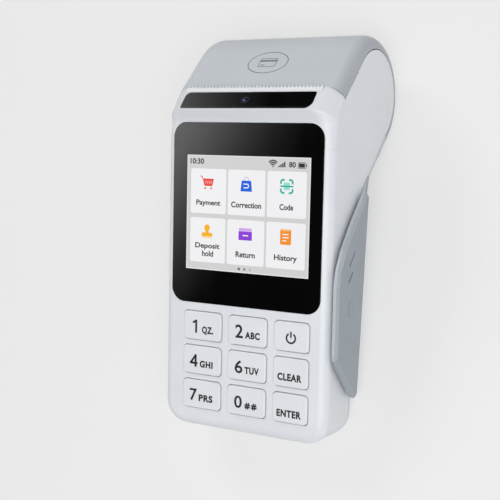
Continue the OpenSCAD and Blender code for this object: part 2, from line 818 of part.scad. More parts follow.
module usb_socket() {
    seat() color(steel) difference() {
        across(-hw + 0.3, -27) rounded(97, board_back - 3.3, 106, board_back - 0.02, 1.1);
        across(-hw - 1, -31) rounded(97.4, board_back - 2.9, 105.6, board_back - 0.4, 0.9);
    }
}

module speaker() {
    seat() roll_frame() color([0.15, 0.15, 0.16]) difference() {
        translate([0, -25, -cover_r + 0.4 + cover_wall]) cylinder(r = 7.2, h = 3.4);
        translate([0, -25, -cover_r + cover_wall]) cylinder(r = 5.6, h = 1.2);
    }
}

module card_reader() {
    seat() color([0.13, 0.13, 0.14]) difference() {
        box(-reader_w / 2, reader_w / 2, reader_v0, reader_v1, board_back - reader_t, board_back);
        box(-card_w / 2, card_w / 2, reader_v0 - 1, reader_v1 - 2.5, card_z - card_t / 2, card_z + card_t / 2);
        box(-11, 11, 24, 40, board_back - reader_t - 1, card_z - card_t / 2 + 0.1);
    }
}

module mag_head() {
    seat() color(steel) {
        box(33.4, hw - 0.4, head_v - 4, head_v + 4, head_z - 3, head_z + 3);
        intersection() {
            translate([hw + head_out - 7, head_v, head_z - 3]) cylinder(r = 7, h = 6);
            box(hw - 0.5, hw + 3, head_v - 3.6, head_v + 3.6, head_z - 3, head_z + 3);
        }
    }
}

module mag_spring() {
    seat() color(steel) box(32.8, 33.2, head_v - 10, head_v + 10, head_z - 2, head_z + 2);
}

// Battery

module battery_pack() {
    seat() back_frame() color([0.2, 0.22, 0.26]) box(-battery_w / 2, battery_w / 2, battery_s0,
        battery_s0 + battery_l, -skin + door_t + fit, -skin + door_t + fit + battery_t);
}

module battery_door() {
    seat() back_frame() color(grey) difference() {
        union() {
            box(-door_w / 2, door_w / 2, door_s0 + door_t / 2, door_s1, -skin, -skin + door_t);
            rod(-door_w / 2, door_w / 2, door_s0 + door_t / 2, -skin + door_t / 2, door_t / 2);
        }
        box(-9, 9, door_s1 - 6, door_s1 - 4.6, -skin - 1, -skin + 0.6);
        box(-9, 9, door_s1 - 8.6, door_s1 - 7.2, -skin - 1, -skin + 0.6);
    }
}

// Paper and printer

module paper_roll() {
    seat() roll_frame() color([0.95, 0.95, 0.94]) difference() {
        rod(-paper_w / 2, paper_w / 2, paper_p, paper_q, paper_r);
        rod(-paper_w / 2 - 1, paper_w / 2 + 1, paper_p, paper_q, core_r);
    }
}

module roll_core() {
    seat() roll_frame() color([0.62, 0.5, 0.36]) difference() {
        rod(-paper_w / 2, paper_w / 2, paper_p, paper_q, core_r);
        rod(-paper_w / 2 - 1, paper_w / 2 + 1, paper_p, paper_q, core_r - 1.2);
    }
}

module paper_tray() {
    h = hw - wall - 0.1;
    narrow = 33;
    seat() roll_frame() color([0.3, 0.31, 0.33]) difference() {
        rotate([0, 90, 0]) rotate([0, 0, 240]) rotate_extrude(angle = 165)
            translate([tray_r, -h]) square([tray_t, 2 * h]);
        for (s = [-1, 1]) box(s > 0 ? narrow : -h - 1, s > 0 ? h + 1 : -narrow, -6.5, 40, -40, 0);
    }
}

module platen_roller() {
    seat() roll_frame() color([0.1, 0.1, 0.1]) difference() {
        rod(-paper_w / 2, paper_w / 2, platen_p, platen_q, platen_r);
        rod(-paper_w / 2 - 1, paper_w / 2 + 1, platen_p, platen_q, shaft_r);
    }
}

module platen_shaft() {
    seat() color(steel) {
        rod(gear_x0 - 0.2, ear_in + ear_t + 0.3, platen_v, platen_w, shaft_r);
        across(gear_x0, gear_x1) translate([platen_v, platen_w]) gear(platen_z, platen_turn);
    }
}

module platen_bushings() {
    seat() roll_frame() color([0.85, 0.83, 0.76]) for (s = [-1, 1]) difference() {
        rod(s > 0 ? ear_in : -ear_in - ear_t, s > 0 ? ear_in + ear_t : -ear_in,
            platen_p, platen_q, bush_r);
        rod(-hw, hw, platen_p, platen_q, shaft_r + 0.04);
    }
}

module print_head() {
    seat() roll_frame() color([0.85, 0.85, 0.8])
        box(-paper_w / 2, paper_w / 2, head_p - 1.1, head_p, 11, 23);
}

module head_heatsink() {
    seat() roll_frame() color([0.75, 0.76, 0.78])
        box(-29, 29, head_p - 3, head_p - 1.1, 12.8, 19.2);
}

module head_spring() {
    p0 = head_p - 3;
    seat() roll_frame() color(steel) upward(13, 18) polygon([[-20, p0 - 1.45], [0, p0 - 0.5],
        [20, p0 - 1.45], [20, p0 - 1.05], [0, p0 - 0.05], [-20, p0 - 1.05]]);
}

module printer_frame() {
    seat() color(steel) difference() {
        union() {
            for (x = [-plate_x - plate_t, plate_x]) across(x, x + plate_t)
                polygon([[face_h - 11, -wall - 0.1], [face_h - 3, -wall - 0.1],
                    [face_h - 2, -4.9], [face_h + 5, -4.9], [face_h + 7, -12],
                    [face_h + 2.5, -15.6], [face_h - 3.5, -19], [face_h - 11, -18.5]]);
            roll_frame() box(-plate_x, plate_x, head_p - 5.5, head_p - 4.5, 13.6, 18.6);
        }
        rod(-40, 40, idler_v, idler_w, 1);
        rod(-40, 0, pinion_v, pinion_w, 1.2);
    }
}

module stepper_motor() {
    seat() color([0.55, 0.56, 0.58]) {
        rod(-plate_x, -plate_x + motor_l, pinion_v, pinion_w, motor_r);
        rod(-plate_x - 0.05, -plate_x + 1, pinion_v, pinion_w, 1.1);
    }
}

module motor_pinion() {
    seat() color([0.8, 0.72, 0.45]) {
        across(gear_x0, gear_x1) translate([pinion_v, pinion_w]) gear(pinion_z, dir_1);
        rod(gear_x1 - 0.1, -plate_x - 0.1, pinion_v, pinion_w, 0.75);
    }
}

module idler_gear() {
    seat() color([0.9, 0.9, 0.86]) across(gear_x0, gear_x1) translate([idler_v, idler_w]) difference() {
        gear(idler_z, idler_turn);
        circle(1.05);
    }
}

module idler_axle() {
    seat() color(steel) {
        rod(gear_x0 - 0.3, -plate_x, idler_v, idler_w, 1);
        rod(gear_x0 - 0.8, gear_x0 - 0.2, idler_v, idler_w, 1.8);
    }
}

module antenna_loop() {
    seat() roll_frame() color([0.72, 0.42, 0.2]) upward(cover_r - cover_wall - 0.35, cover_r - cover_wall)
        difference() {
            translate([-22, -11.5]) square([44, 11]);
            translate([-19.5, -9]) square([39, 6]);
        }
}

module case_screws() {
    seat() color(steel) for (s = [-1, 1], v = screw_v) translate([s * screw_x, v, screw_seat(v)]) {
        translate([0, 0, -1.4]) difference() {
            cylinder(r = screw_head, h = 1.4);
            translate([-1.3, -0.25, -1]) cube([2.6, 0.5, 1.6]);
            translate([-0.25, -1.3, -1]) cube([0.5, 2.6, 1.6]);
        }
        cylinder(r = screw_r, h = boss_end + 5.5 - screw_seat(v));
    }
}

front_housing();
rear_housing();
swipe_rail();
paper_cover();
hinge_pin();
tear_bar();
scan_window();
camera_module();
display_glass();
glass_gasket();
lcd_module();
key(0, 0);  // key_1
key(1, 0);  // key_2
key(2, 0);  // key_power
key(0, 1);  // key_4
key(1, 1);  // key_6
key(2, 1);  // key_clear
key(0, 2);  // key_7
key(1, 2);  // key_0
key(2, 2);  // key_enter
keypad_mat();
main_board();
shield_cans();
backup_cell();
sim_holder();
usb_socket();
speaker();
card_reader();
mag_head();
mag_spring();
battery_pack();
battery_door();
paper_roll();
roll_core();
paper_tray();
platen_roller();
platen_shaft();
platen_bushings();
print_head();
head_heatsink();
head_spring();
printer_frame();
stepper_motor();
motor_pinion();
idler_gear();
idler_axle();
antenna_loop();
case_screws();
rubber_feet();
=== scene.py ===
import json
import math

import bmesh
import bpy
from mathutils import Matrix, Vector


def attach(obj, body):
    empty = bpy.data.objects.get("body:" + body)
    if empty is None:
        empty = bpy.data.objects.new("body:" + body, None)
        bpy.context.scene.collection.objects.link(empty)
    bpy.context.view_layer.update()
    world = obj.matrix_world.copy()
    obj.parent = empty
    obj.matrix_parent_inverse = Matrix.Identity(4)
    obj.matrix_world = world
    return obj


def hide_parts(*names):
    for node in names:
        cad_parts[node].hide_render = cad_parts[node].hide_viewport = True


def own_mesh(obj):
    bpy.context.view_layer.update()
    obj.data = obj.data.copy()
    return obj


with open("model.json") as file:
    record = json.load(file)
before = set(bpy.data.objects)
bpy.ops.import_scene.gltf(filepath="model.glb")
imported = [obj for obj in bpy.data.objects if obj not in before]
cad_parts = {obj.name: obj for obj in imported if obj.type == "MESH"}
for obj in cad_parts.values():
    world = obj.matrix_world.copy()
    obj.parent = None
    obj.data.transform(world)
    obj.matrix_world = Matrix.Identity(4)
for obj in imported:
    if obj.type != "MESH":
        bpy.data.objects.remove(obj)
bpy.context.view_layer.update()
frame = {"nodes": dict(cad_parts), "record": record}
nodes = frame["nodes"]
scene = bpy.context.scene


# Frames of the part: offsets in millimetres, tilts in degrees, matrices in metres

MM = 0.001
FACE_AT = (-1.775, -84.526, 24.151)
FACE_TILT = 16
ROLL_AT = (0, 138, -39)
ROLL_TILT = -45
BAR_AT = (0, 131.4, 3.6)
BAR_TILT = -39.8


def placed(offset, tilt):
    return Matrix.Translation(Vector(offset) * MM) @ Matrix.Rotation(math.radians(tilt), 4, "X")


FACE = placed(FACE_AT, FACE_TILT)
ROLL = FACE @ placed(ROLL_AT, ROLL_TILT)
BAR = FACE @ placed(BAR_AT, BAR_TILT)
RAIL = FACE @ Matrix(((0, 0, 1), (1, 0, 0), (0, 1, 0))).to_4x4()


# Colours, from 0 to 255 as a screen shows them

def linear(value):
    value = value / 255
    if value <= 0.04045:
        return value / 12.92
    return ((value + 0.055) / 1.055) ** 2.4


def rgb(r, g, b):
    return (linear(r), linear(g), linear(b), 1)


def grey(value, cool=0):
    return rgb(value - cool, value, value + cool)


def level(value):
    # Grey by its strength, from 0 to 1
    return (value, value, value, 1)


def scaled(colour, factor):
    return [c * factor for c in colour[:3]] + [1]


# Materials: the range that noise mostly keeps to, relief heights in metres, and wear with a painted
# highlight at edges

NOISE_LOW = 0.3
NOISE_HIGH = 0.7
DEEP_RELIEF = 0.00003
FINE_RELIEF = 0.00002
FILM_RELIEF = 0.00001
WEAR_HIGHLIGHT_START = 0.99
WEAR_HIGHLIGHT_END = 0.85
WEAR_HIGHLIGHT_MOST = 0.12
WORN_AND_HIGHLIT = rgb(246, 247, 249)
INK_ROUGH = 0.45
PIXEL = 0.12


def new_material(name):
    material = bpy.data.materials.new(name)
    material.use_nodes = True
    tree = material.node_tree
    tree.nodes.clear()
    out = tree.nodes.new("ShaderNodeOutputMaterial")
    shader = tree.nodes.new("ShaderNodeBsdfPrincipled")
    tree.links.new(shader.outputs["BSDF"], out.inputs["Surface"])
    return material, tree, shader


def place(tree, stretch=(1, 1, 1), turn=(0, 0, 0)):
    coords = tree.nodes.new("ShaderNodeTexCoord")
    mapping = tree.nodes.new("ShaderNodeMapping")
    mapping.inputs["Scale"].default_value = stretch
    mapping.inputs["Rotation"].default_value = turn
    tree.links.new(coords.outputs["Object"], mapping.inputs["Vector"])
    return mapping.outputs["Vector"]


def noise(tree, vector, scale, detail=3.0, rough=0.5):
    node = tree.nodes.new("ShaderNodeTexNoise")
    node.inputs["Scale"].default_value = scale
    node.inputs["Detail"].default_value = detail
    node.inputs["Roughness"].default_value = rough
    tree.links.new(vector, node.inputs["Vector"])
    return node.outputs["Fac"]


def ramp(tree, fac, stops):
    node = tree.nodes.new("ShaderNodeValToRGB")
    elements = node.color_ramp.elements
    while len(elements) < len(stops):
        elements.new(0.5)
    for element, (at, colour) in zip(elements, stops):
        element.position = at
        element.color = colour
    tree.links.new(fac, node.inputs["Fac"])
    return node.outputs["Color"]


def mottle(tree, fac, colour, other):
    return ramp(tree, fac, [(NOISE_LOW, colour), (NOISE_HIGH, other)])


def spread(tree, fac, low, high):
    node = tree.nodes.new("ShaderNodeMapRange")
    node.inputs["From Min"].default_value = NOISE_LOW
    node.inputs["From Max"].default_value = NOISE_HIGH
    node.inputs["To Min"].default_value = low
    node.inputs["To Max"].default_value = high
    tree.links.new(fac, node.inputs["Value"])
    return node.outputs["Result"]


def blend(tree, value, start, end, colour, other, most=1.0):
    # One colour turns to another as a value goes from start to end
    share = tree.nodes.new("ShaderNodeMapRange")
    share.inputs["From Min"].default_value = start
    share.inputs["From Max"].default_value = end
    share.inputs["To Max"].default_value = most
    tree.links.new(value, share.inputs["Value"])
    mix = tree.nodes.new("ShaderNodeMix")
    mix.data_type = "RGBA"
    tree.links.new(share.outputs["Result"], mix.inputs["Factor"])
    tree.links.new(colour, mix.inputs["A"])
    mix.inputs["B"].default_value = other
    return mix.outputs["Result"]


def soft_edge(tree, radius):
    bevel = tree.nodes.new("ShaderNodeBevel")
    bevel.samples = 6
    bevel.inputs["Radius"].default_value = radius * MM
    return bevel.outputs["Normal"]


def relief(tree, shader, height, distance, strength, normal=None):
    bump = tree.nodes.new("ShaderNodeBump")
    bump.inputs["Distance"].default_value = distance
    bump.inputs["Strength"].default_value = strength
    tree.links.new(height, bump.inputs["Height"])
    if normal:
        tree.links.new(normal, bump.inputs["Normal"])
    tree.links.new(bump.outputs["Normal"], shader.inputs["Normal"])


def flat_dot(tree):
    # Dot product of the flat normal with the node's first input
    geometry = tree.nodes.new("ShaderNodeNewGeometry")
    turn = tree.nodes.new("ShaderNodeVectorMath")
    turn.operation = "DOT_PRODUCT"
    tree.links.new(geometry.outputs["True Normal"], turn.inputs[1])
    return turn


def rubbed_and_highlit(tree, normal, colour):
    # Painted highlight and wear: edges turn paler where the rounded normal leaves the flat one
    turn = flat_dot(tree)
    tree.links.new(normal, turn.inputs[0])
    return blend(tree, turn.outputs["Value"], WEAR_HIGHLIGHT_START, WEAR_HIGHLIGHT_END, colour, WORN_AND_HIGHLIT, WEAR_HIGHLIGHT_MOST)


def moulded(name, colour, other, rough, grain=0.35, depth=0.3, edge=0.25, coat=0.0):
    # Injection-moulded plastic: fine spark texture, slight flow shade, soft edges paler from wear and a
    # painted highlight
    material, tree, shader = new_material(name)
    at = place(tree)
    fine = noise(tree, at, scale=1000 / grain, detail=2.0)
    wide = noise(tree, at, scale=55)
    normal = soft_edge(tree, edge)
    shade = mottle(tree, wide, colour, other)
    tree.links.new(rubbed_and_highlit(tree, normal, shade), shader.inputs["Base Color"])
    tree.links.new(spread(tree, fine, rough - 0.05, rough + 0.05), shader.inputs["Roughness"])
    relief(tree, shader, fine, FINE_RELIEF, depth, normal)
    shader.inputs["Coat Weight"].default_value = coat
    shader.inputs["Coat Roughness"].default_value = 0.2
    return material


def gloss(name, colour, other, rough=0.04, shine=1.0):
    # Polished surface with faint smears in the gloss
    material, tree, shader = new_material(name)
    smear = noise(tree, place(tree, (1, 0.35, 1), (0, 0, 0.5)), scale=120, detail=4.0)
    wave = noise(tree, place(tree), scale=25, detail=2.0)
    tree.links.new(mottle(tree, wave, colour, other), shader.inputs["Base Color"])
    tree.links.new(spread(tree, smear, rough, rough + 0.05), shader.inputs["Roughness"])
    relief(tree, shader, wave, FINE_RELIEF, 0.03, soft_edge(tree, 0.2))
    shader.inputs["Specular IOR Level"].default_value = shine
    return material


def metal(name, colour, other, rough=0.3, stretch=(1, 12, 12)):
    # Drawn or milled metal with fine lines along one way
    material, tree, shader = new_material(name)
    lines = noise(tree, place(tree, stretch), scale=260, detail=5.0, rough=0.6)
    tree.links.new(mottle(tree, lines, colour, other), shader.inputs["Base Color"])
    tree.links.new(spread(tree, lines, rough - 0.08, rough + 0.1), shader.inputs["Roughness"])
    relief(tree, shader, lines, FINE_RELIEF, 0.25, soft_edge(tree, 0.1))
    shader.inputs["Metallic"].default_value = 1
    return material


def fibrous(name, colour, other, rough, stretch=(1, 4, 1), depth=0.4):
    # Paper, card and film: long fibres
    material, tree, shader = new_material(name)
    lines = noise(tree, place(tree, stretch), scale=900, detail=4.0, rough=0.6)
    tree.links.new(mottle(tree, lines, colour, other), shader.inputs["Base Color"])
    tree.links.new(spread(tree, lines, rough - 0.06, rough + 0.04), shader.inputs["Roughness"])
    relief(tree, shader, lines, DEEP_RELIEF, depth)
    return material


def circuit(name, colour, trace):
    # Solder mask with a net of traces under it
    material, tree, shader = new_material(name)
    at = place(tree)
    cells = tree.nodes.new("ShaderNodeTexBrick")
    cells.inputs["Scale"].default_value = 220
    cells.inputs["Color1"].default_value = colour
    cells.inputs["Color2"].default_value = scaled(colour, 1.15)
    cells.inputs["Mortar"].default_value = trace
    cells.inputs["Mortar Size"].default_value = 0.03
    tree.links.new(at, cells.inputs["Vector"])
    tree.links.new(cells.outputs["Color"], shader.inputs["Base Color"])
    fine = noise(tree, at, scale=1500, detail=2.0)
    tree.links.new(spread(tree, fine, 0.3, 0.4), shader.inputs["Roughness"])
    relief(tree, shader, cells.outputs["Fac"], DEEP_RELIEF, 0.3)
    return material


def lit(name, colour):
    # Lit display colour behind a fine grid of picture cells
    material, tree, shader = new_material(name)
    at = place(tree, turn=(-math.radians(FACE_TILT), 0, 0))
    grid = tree.nodes.new("ShaderNodeTexChecker")
    grid.inputs["Scale"].default_value = 1000 / PIXEL
    grid.inputs["Color1"].default_value = colour
    grid.inputs["Color2"].default_value = scaled(colour, 0.93)
    tree.links.new(at, grid.inputs["Vector"])
    tree.links.new(grid.outputs["Color"], shader.inputs["Emission Color"])
    shader.inputs["Emission Strength"].default_value = 0.97
    shader.inputs["Base Color"].default_value = level(0.01)
    haze = noise(tree, at, scale=90)
    tree.links.new(spread(tree, haze, 0.18, 0.26), shader.inputs["Roughness"])
    return material


def ink(name, colour, other):
    # Printed ink with a slightly uneven film
    material, tree, shader = new_material(name)
    film = noise(tree, place(tree), scale=1800)
    tree.links.new(ramp(tree, film, [(0.35, colour), (0.65, other)]), shader.inputs["Base Color"])
    rough = spread(tree, film, INK_ROUGH - 0.06, INK_ROUGH + 0.06)
    tree.links.new(rough, shader.inputs["Roughness"])
    relief(tree, shader, film, FILM_RELIEF, 0.2)
    return material


SHELL_GREYS = (rgb(200, 205, 210), rgb(204, 209, 213))
SHELL_ROUGH = 0.45
FINISHES = {
    "white_plastic": moulded("white_shell", rgb(221, 224, 229), rgb(225, 228, 232), 0.42),
    "grey_plastic": moulded("grey_shell", *SHELL_GREYS, SHELL_ROUGH),
    "rail_plastic": moulded("rail_shell", rgb(150, 158, 166), rgb(154, 162, 170), 0.45, edge=0.5),
    "key_plastic": moulded("key_shell", rgb(223, 226, 231), rgb(227, 230, 234), 0.4, edge=0.15),
    "black_gloss": gloss("window_gloss", grey(4), grey(6)),
    "cover_glass": gloss("panel_gloss", grey(3), grey(5)),
    "screen": moulded("display_body", grey(150), grey(160), 0.4),
    "dark_plastic": moulded("dark_shell", grey(38), grey(44), 0.5),
    "board": circuit("board_mask", rgb(20, 84, 52), rgb(60, 140, 90)),
    "bright_metal": metal("bright_steel", grey(196, 2), grey(214, 2), 0.25),
    "heatsink_metal": metal("milled_metal", grey(170, 1), grey(190, 1), 0.35, (12, 1, 12)),
    "gear_brass": metal("brass", rgb(190, 150, 80), rgb(206, 168, 96), 0.28),
    "gear_plastic": moulded("gear_shell", rgb(226, 222, 208), rgb(232, 229, 216), 0.4, edge=0.08),
    "rubber_black": moulded("black_rubber", grey(28), grey(34), 0.72, grain=0.6, depth=0.6),
    "rubber_grey": moulded("grey_rubber", grey(120), grey(130), 0.68, grain=0.5, depth=0.5),
    "ceramic_white": moulded("ceramic", grey(222), grey(230), 0.3, 0.2, 0.2, edge=0.1, coat=0.3),
    "paper_white": fibrous("paper", rgb(240, 239, 234), rgb(247, 246, 242), 0.75),
    "core_card": fibrous("card", rgb(170, 140, 104), rgb(188, 158, 120), 0.8),
    "pack_wrap": fibrous("wrap_film", rgb(52, 58, 66), rgb(60, 66, 74), 0.35, (1, 8, 1), 0.15),
    "coil_copper": metal("copper", rgb(200, 126, 84), rgb(214, 142, 98), 0.3, (8, 1, 1)),
}

for part in frame["record"]["subparts"]:
    solid = nodes[part["node"]]
    solid.data.materials.clear()
    solid.data.materials.append(FINISHES[part["material_slot"]])


# Painted shade and painted light that change along a piece

SHOULDER_START = 31.4
SHOULDER_END = 36.0
SHOULDER_SHADE_GREY = rgb(170, 175, 182)
EDGE_WAY = (0, 0.5, 0.87)
EDGE_START = 0.3
EDGE_END = 0.9
EDGE_LIGHT_GREY = rgb(188, 194, 201)


def tint(material, value, start, end, colour):
    tree = material.node_tree
    base = tree.nodes["Principled BSDF"].inputs["Base Color"]
    plain = base.links[0].from_socket
    tree.links.new(blend(tree, value, start, end, plain, colour), base)


def paint_shoulder_shade():
    # Painted shade: the cover grows darker where its right shoulder meets the cheek
    material = moulded("cover_shell", *SHELL_GREYS, SHELL_ROUGH)
    tree = material.node_tree
    split = tree.nodes.new("ShaderNodeSeparateXYZ")
    tree.links.new(place(tree), split.inputs["Vector"])
    tint(material, split.outputs["X"], SHOULDER_START * MM, SHOULDER_END * MM, SHOULDER_SHADE_GREY)
    nodes["paper_cover"].data.materials[0] = material


def paint_rail_edge_light():
    # Painted light: the rail's front and upper edges are paler than its outer face, by the way they
    # face
    material = FINISHES["rail_plastic"]
    turn = flat_dot(material.node_tree)
    turn.inputs[0].default_value = FACE.to_3x3() @ Vector(EDGE_WAY)
    tint(material, turn.outputs["Value"], EDGE_START, EDGE_END, EDGE_LIGHT_GREY)


paint_shoulder_shade()
paint_rail_edge_light()


# Mesh helpers: flat outlines in millimetres, raised into thin plates

def finish_piece(name, bm, matrix, body, material, smooth=False):
    bmesh.ops.recalc_face_normals(bm, faces=bm.faces)
    bmesh.ops.scale(bm, vec=(MM, MM, MM), verts=bm.verts)
    mesh = bpy.data.meshes.new(name)
    bm.to_mesh(mesh)
    bm.free()
    mesh.transform(matrix)
    mesh.materials.append(material)
    for polygon in mesh.polygons:
        polygon.use_smooth = smooth
    piece = bpy.data.objects.new(name, mesh)
    scene.collection.objects.link(piece)
    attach(piece, body)
    return piece


def skin(bm, rows):
    # Faces between rings of points, one above the other
    count = len(rows[0])
    for lower, upper in zip(rows, rows[1:]):
        for i in range(count):
            j = (i + 1) % count
            bm.faces.new((lower[i], lower[j], upper[j], upper[i]))


def plate(bm, outline, low, high):
    bottom = [bm.verts.new((x, y, low)) for x, y in outline]
    top = [bm.verts.new((x, y, high)) for x, y in outline]
    bm.faces.new(top)
    bm.faces.new(bottom[::-1])
    skin(bm, [bottom, top])


def band(bm, outer, inner, low, high, closed=True):
    count = len(outer)
    rows = []
    for points, z in ((outer, low), (outer, high), (inner, high), (inner, low)):
        rows.append([bm.verts.new((x, y, z)) for x, y in points])
    for i in range(count if closed else count - 1):
        j = (i + 1) % count
        for a in range(4):
            b = (a + 1) % 4
            bm.faces.new((rows[a][i], rows[a][j], rows[b][j], rows[b][i]))
    if not closed:
        bm.faces.new([row[0] for row in rows])
        bm.faces.new([row[-1] for row in rows][::-1])


def arc(cx, cy, rx, ry, start, end, count):
    points = []
    for i in range(count + 1):
        a = math.radians(start + (end - start) * i / count)
        points.append((cx + rx * math.cos(a), cy + ry * math.sin(a)))
    return points


def ring(cx, cy, rx, ry, count=48):
    return arc(cx, cy, rx, ry, 0, 360 * (count - 1) / count, count - 1)


def rect(x0, y0, x1, y1):
    return [(x0, y0), (x1, y0), (x1, y1), (x0, y1)]


def round_rect(x0, y0, x1, y1, r, count=6):
    return (arc(x1 - r, y1 - r, r, r, 0, 90, count) + arc(x0 + r, y1 - r, r, r, 90, 180, count)
            + arc(x0 + r, y0 + r, r, r, 180, 270, count) + arc(x1 - r, y0 + r, r, r, 270, 360, count))


def stroke(bm, path, width, low, high):
    left = []
    right = []
    for i, (x, y) in enumerate(path):
        before = Vector(path[max(i - 1, 0)])
        after = Vector(path[min(i + 1, len(path) - 1)])
        way = (after - before).normalized()
        left.append((x - way.y * width / 2, y + way.x * width / 2))
        right.append((x + way.y * width / 2, y - way.x * width / 2))
    band(bm, left, right, low, high, closed=False)


def words(bm, text, box, low, high, weight, gap=1.0):
    # Letters set to fill the given box
    x0, y0, x1, y1 = box
    curve = bpy.data.curves.new("letters", "FONT")
    curve.body = text
    curve.size = 1
    curve.resolution_u = 4
    curve.offset = weight
    curve.space_character = gap
    holder = bpy.data.objects.new("letters", curve)
    scene.collection.objects.link(holder)
    bpy.context.view_layer.update()
    graph = bpy.context.evaluated_depsgraph_get()
    flat = bpy.data.meshes.new_from_object(holder.evaluated_get(graph))
    bpy.data.objects.remove(holder)
    bpy.data.curves.remove(curve)
    xs = [v.co.x for v in flat.vertices]
    ys = [v.co.y for v in flat.vertices]
    sx = (x1 - x0) / (max(xs) - min(xs))
    sy = (y1 - y0) / (max(ys) - min(ys))
    letters = bmesh.new()
    letters.from_mesh(flat)
    bpy.data.meshes.remove(flat)
    for vert in letters.verts:
        vert.co.x = x0 + (vert.co.x - min(xs)) * sx
        vert.co.y = y0 + (vert.co.y - min(ys)) * sy
        vert.co.z = low
    raised = bmesh.ops.extrude_face_region(letters, geom=letters.faces[:])
    moved = [g for g in raised["geom"] if isinstance(g, bmesh.types.BMVert)]
    bmesh.ops.translate(letters, vec=(0, 0, high - low), verts=moved)
    joined = bpy.data.meshes.new("letters")
    letters.to_mesh(joined)
    letters.free()
    bm.from_mesh(joined)
    bpy.data.meshes.remove(joined)


# Screen picture, drawn with plain tiles and everyday signs in thin layers

SCREEN = (-27.75, 66.1, 28.95, 112.85)
COLUMNS = ((-25.87, -9.0), (-8.15, 9.07), (10.0, 27.36))
ROWS = ((89.2, 107.35), (69.2, 87.4))
RIM_LAYER = (0.01, 0.03)
GROUND_LAYER = (0.03, 0.05)
TILE_LAYER = (0.05, 0.07)
SIGN_LAYER = (0.07, 0.09)
MARK_LAYER = (0.09, 0.1)
LABEL_WEIGHT = 0.028
WHITE = grey(250)


def show(name, bm, colour):
    finish_piece(name, bm, FACE, "housing", lit(name, colour))


def screen_ground():
    x0, y0, x1, y1 = SCREEN
    rim = 0.35
    top_rim = 0.25
    bm = bmesh.new()
    plate(bm, round_rect(x0, y0, x1, y1, 0.25), *RIM_LAYER)
    show("screen_rim", bm, grey(243))
    bm = bmesh.new()
    plate(bm, round_rect(x0 + rim, y0 + rim, x1 - rim, y1 - top_rim, 0.2), *GROUND_LAYER)
    show("screen_ground", bm, grey(213))
    bm = bmesh.new()
    for left, right in COLUMNS:
        for low, high in ROWS:
            plate(bm, round_rect(left, low, right, high, 0.9), *TILE_LAYER)
    show("screen_tiles", bm, rgb(245, 245, 247))


def status_line():
    waves_x = 12.3
    bars_x, bars_y = 14.75, 108.9
    bar_pitch, bar_width, bar_rise = 0.82, 0.62, 0.5
    bm = bmesh.new()
    words(bm, "10:30", (-26.3, 109.2, -19.7, 111.5), *TILE_LAYER, LABEL_WEIGHT)
    words(bm, "80", (19.4, 108.9, 22.4, 111.1), *TILE_LAYER, LABEL_WEIGHT)
    for r in (1.0, 1.75, 2.5):
        stroke(bm, arc(waves_x, 109.0, r, r, 42, 138, 12), 0.5, *TILE_LAYER)
    plate(bm, ring(waves_x, 109.15, 0.32, 0.32, 16), *TILE_LAYER)
    for i in range(4):
        x = bars_x + i * bar_pitch
        plate(bm, rect(x, bars_y, x + bar_width, 109.5 + i * bar_rise), *TILE_LAYER)
    show("screen_status", bm, grey(52))
    case = round_rect(23.3, 108.6, 26.9, 111.0, 0.45)
    hollow = round_rect(23.5, 108.8, 26.7, 110.8, 0.3)
    bm = bmesh.new()
    band(bm, case, hollow, *TILE_LAYER)
    plate(bm, round_rect(26.95, 109.4, 27.25, 110.25, 0.12, 3), *TILE_LAYER)
    plate(bm, round_rect(23.7, 109.0, 26.35, 110.6, 0.15, 3), *TILE_LAYER)
    show("screen_battery", bm, grey(45))


def cart():
    bars_x, bar_pitch, bar_width = -18.9, 0.85, 0.45
    bm = bmesh.new()
    plate(bm, [(-20.2, 103.35), (-19.35, 100.35), (-15.65, 100.35), (-14.85, 103.35)], *SIGN_LAYER)
    stroke(bm, [(-21.4, 104.3), (-20.6, 104.2), (-20.1, 103.2)], 0.4, *SIGN_LAYER)
    show("sign_cart", bm, rgb(238, 62, 54))
    bm = bmesh.new()
    for i in range(4):
        x = bars_x + i * bar_pitch
        plate(bm, round_rect(x, 101.3, x + bar_width, 102.5, 0.15, 3), *MARK_LAYER)
    show("sign_cart_bars", bm, rgb(250, 165, 160))
    bm = bmesh.new()
    for x in (-18.95, -16.1):
        plate(bm, ring(x, 99.45, 0.45, 0.45, 20), *SIGN_LAYER)
    show("sign_cart_wheels", bm, rgb(222, 110, 106))


def bag():
    bm = bmesh.new()
    plate(bm, [(-2.25, 98.8), (3.05, 98.8), (2.6, 103.1), (-1.75, 103.1)], *SIGN_LAYER)
    show("sign_bag", bm, rgb(10, 94, 226))
    bm = bmesh.new()
    stroke(bm, arc(0.45, 103.1, 1.05, 1.4, 0, 180, 14), 0.28, *SIGN_LAYER)
    show("sign_bag_handle", bm, rgb(178, 180, 226))
    bend = arc(0.7, 101.0, 0.75, 0.75, 90, -90, 10)
    bm = bmesh.new()
    stroke(bm, [(-0.9, 101.75), (0.7, 101.75)] + bend + [(-0.9, 100.25)], 0.42, *MARK_LAYER)
    show("sign_bag_hook", bm, WHITE)


